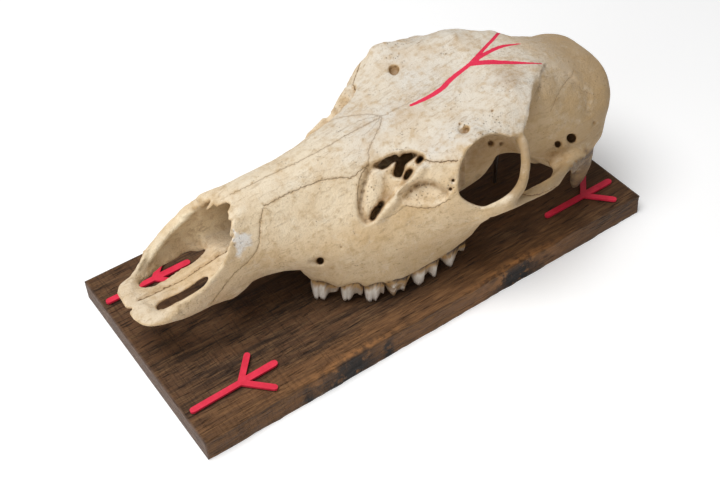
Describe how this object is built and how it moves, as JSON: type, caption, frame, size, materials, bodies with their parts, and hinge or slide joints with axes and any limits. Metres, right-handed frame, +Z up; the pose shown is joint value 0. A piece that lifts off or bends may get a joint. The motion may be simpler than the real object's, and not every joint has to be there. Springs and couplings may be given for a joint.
{
  "type": "elk skull on a board",
  "caption": "Upper skull of a cow elk with its cheek teeth, standing on a plank on a thin steel rod, with flat red signs at the plank's corners.",
  "frame": {"origin": "middle of the board's underside, where it rests", "axes": "+X along the board towards the back of the skull, -Y the skull's left side, +Z up"},
  "size_m": [0.4, 0.1836, 0.1513],
  "materials": {
    "plank": "dark brown sawn wood, worn orange-brown near the front edge",
    "bone": "dry bone, ivory on top and tan on the sides",
    "tooth": "satin enamel, bluish white with brown at the gum",
    "rod": "plain thin steel rod",
    "sign": "satin crimson"
  },
  "bodies": {
    "root": {"board": "plank", "skull": "bone", "rod": "rod", "tooth_left_p2": "tooth", "tooth_left_p3": "tooth", "tooth_left_p4": "tooth", "tooth_left_m1": "tooth", "tooth_left_m2": "tooth", "tooth_left_m3": "tooth", "tooth_right_p2": "tooth", "tooth_right_p3": "tooth", "tooth_right_p4": "tooth", "tooth_right_m1": "tooth", "tooth_right_m2": "tooth", "tooth_right_m3": "tooth", "sign_near_left": "sign", "sign_near_right": "sign", "sign_far_left": "sign", "sign_far_right": "sign"}
  },
  "joints": []
}
